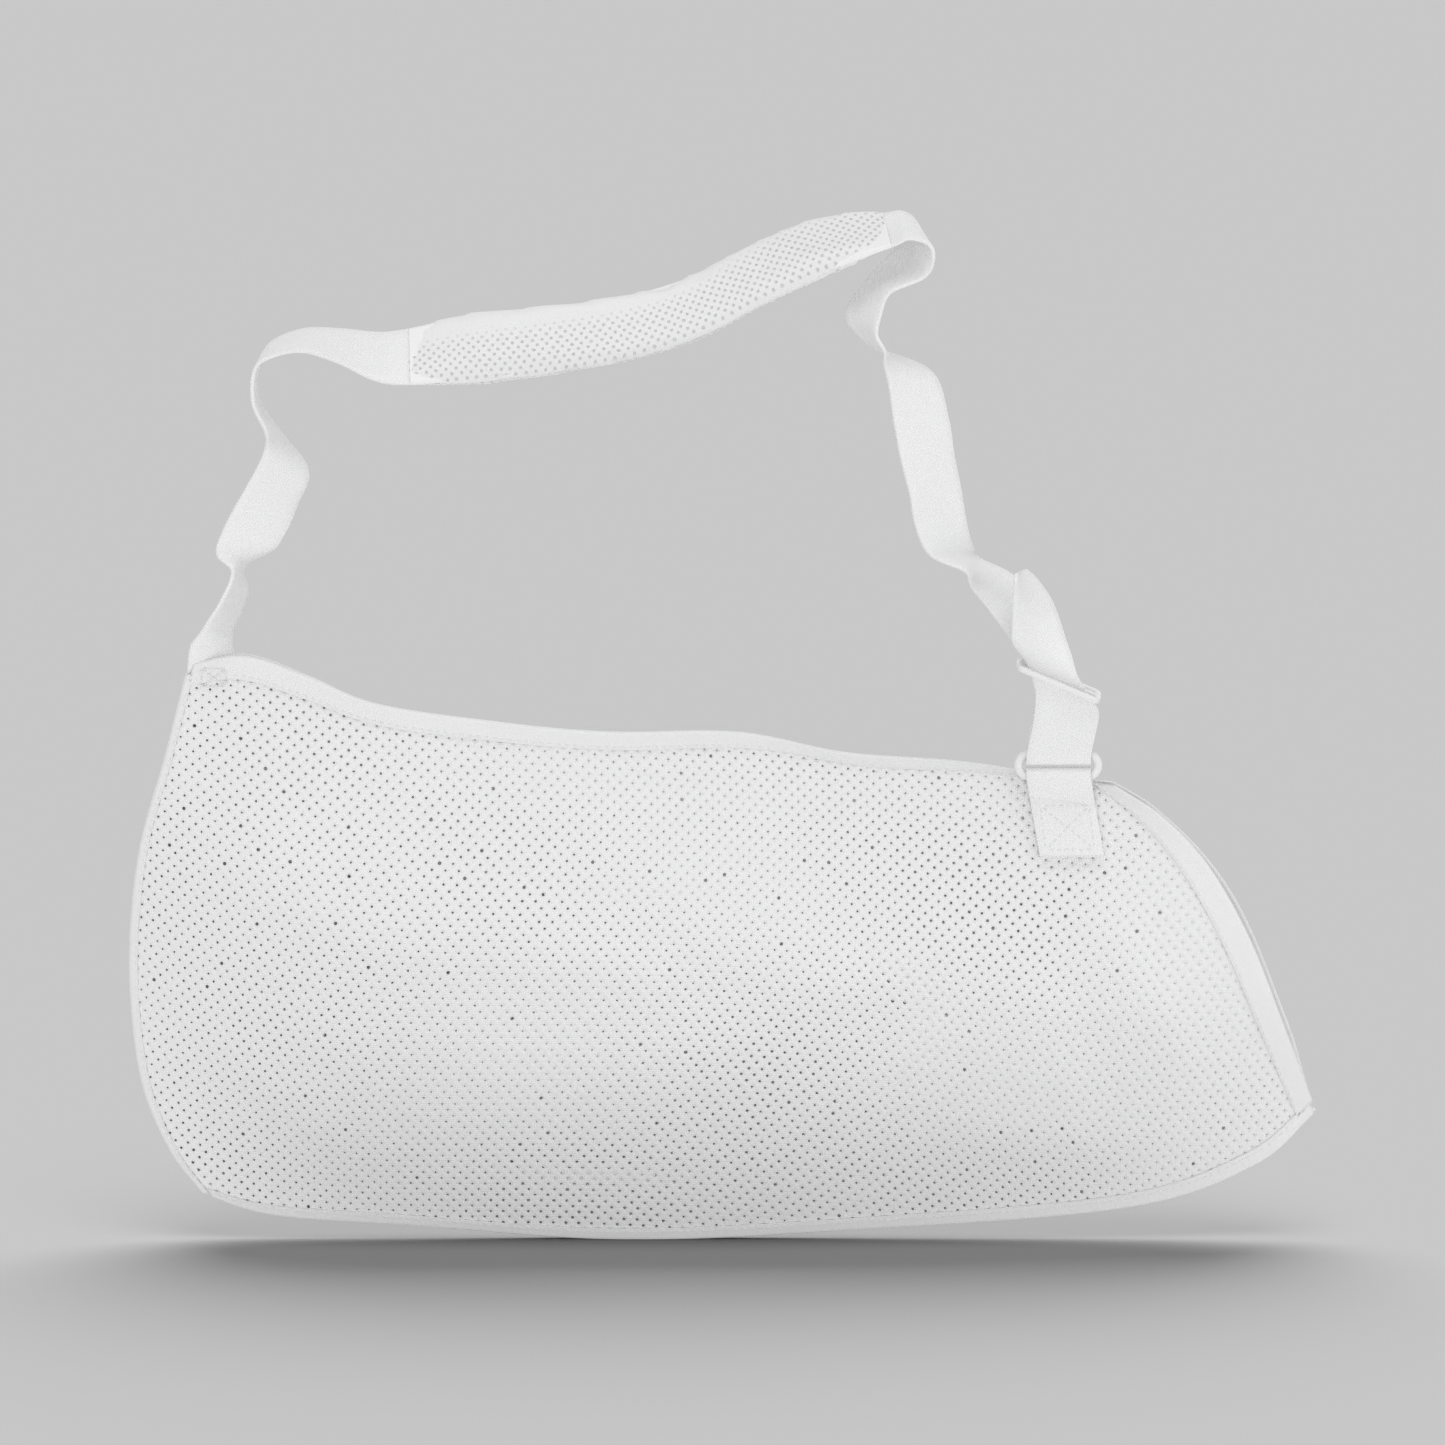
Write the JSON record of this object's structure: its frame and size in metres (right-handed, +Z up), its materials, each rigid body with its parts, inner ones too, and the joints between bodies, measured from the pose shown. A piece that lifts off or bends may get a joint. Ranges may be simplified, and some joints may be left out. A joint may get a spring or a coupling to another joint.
{
  "type": "arm sling",
  "caption": "Pouch arm sling in open white mesh, hung from a webbing neck strap with a sliding padded shoulder sleeve, a plastic strap adjuster and an oval ring",
  "frame": {"origin": "the neck rest, under the middle of the shoulder pad", "axes": "+X to the hand end, +Y to the wearer, +Z up"},
  "size_m": [0.4725, 0.0725, 0.4132],
  "materials": {
    "mesh_knit": "open polyester mesh knit",
    "tape": "fine woven tape",
    "webbing": "woven webbing",
    "pad_knit": "fine mesh knit",
    "foam": "soft open-cell foam",
    "thread": "sewing thread",
    "white_plastic": "satin moulded plastic"
  },
  "bodies": {
    "neck_strap": {"neck_strap_elbow_side": "webbing", "neck_strap_in_pad": "webbing", "neck_strap_hand_side": "webbing", "adjuster_loop": "webbing", "strap_tail": "webbing", "tail_end_stitches": "thread"},
    "shoulder_pad": {"pad_cover": "pad_knit", "pad_foam": "foam", "pad_lining": "tape", "pad_seam_stitches": "thread"},
    "strap_slider": {"slider": "white_plastic"},
    "oval_ring": {"ring": "white_plastic"},
    "pouch": {"front_panel": "mesh_knit", "back_panel": "mesh_knit", "front_top_binding": "tape", "back_top_binding": "tape", "front_hand_hem": "tape", "back_hand_hem": "tape", "bottom_seam_tape": "tape", "elbow_seam_tape": "tape", "strap_sewn_end": "webbing", "ring_tab": "webbing", "corner_tack": "thread", "tab_stitches": "thread", "front_binding_stitches": "thread", "back_binding_stitches": "thread", "front_hem_stitches": "thread", "back_hem_stitches": "thread", "bottom_seam_stitches": "thread", "elbow_seam_stitches": "thread"}
  },
  "joints": [
    {"name": "pad_slide", "type": "slide", "parent": "neck_strap", "child": "shoulder_pad", "axis": [0.9673, 0, 0.2538], "range_m": [-0.002, 0.002]},
    {"name": "slider_slide", "type": "slide", "parent": "neck_strap", "child": "strap_slider", "axis": [-0.53, 0, 0.848], "range_m": [-0.002, 0.005]},
    {"name": "pouch_swing", "type": "hinge", "parent": "neck_strap", "child": "pouch", "pos_m": [-0.174, 0, -0.118], "axis": [0.9935, -0.03, -0.1098], "range_deg": [-16, 16]},
    {"name": "ring_tilt", "type": "hinge", "parent": "neck_strap", "child": "oval_ring", "pos_m": [0.1635, -0.0102, -0.1553], "axis": [1, 0, 0], "range_deg": [-17, 17]}
  ],
  "couplings": [
    {"joint": "ring_tilt", "follows": "pouch_swing", "ratio": 1}
  ]
}
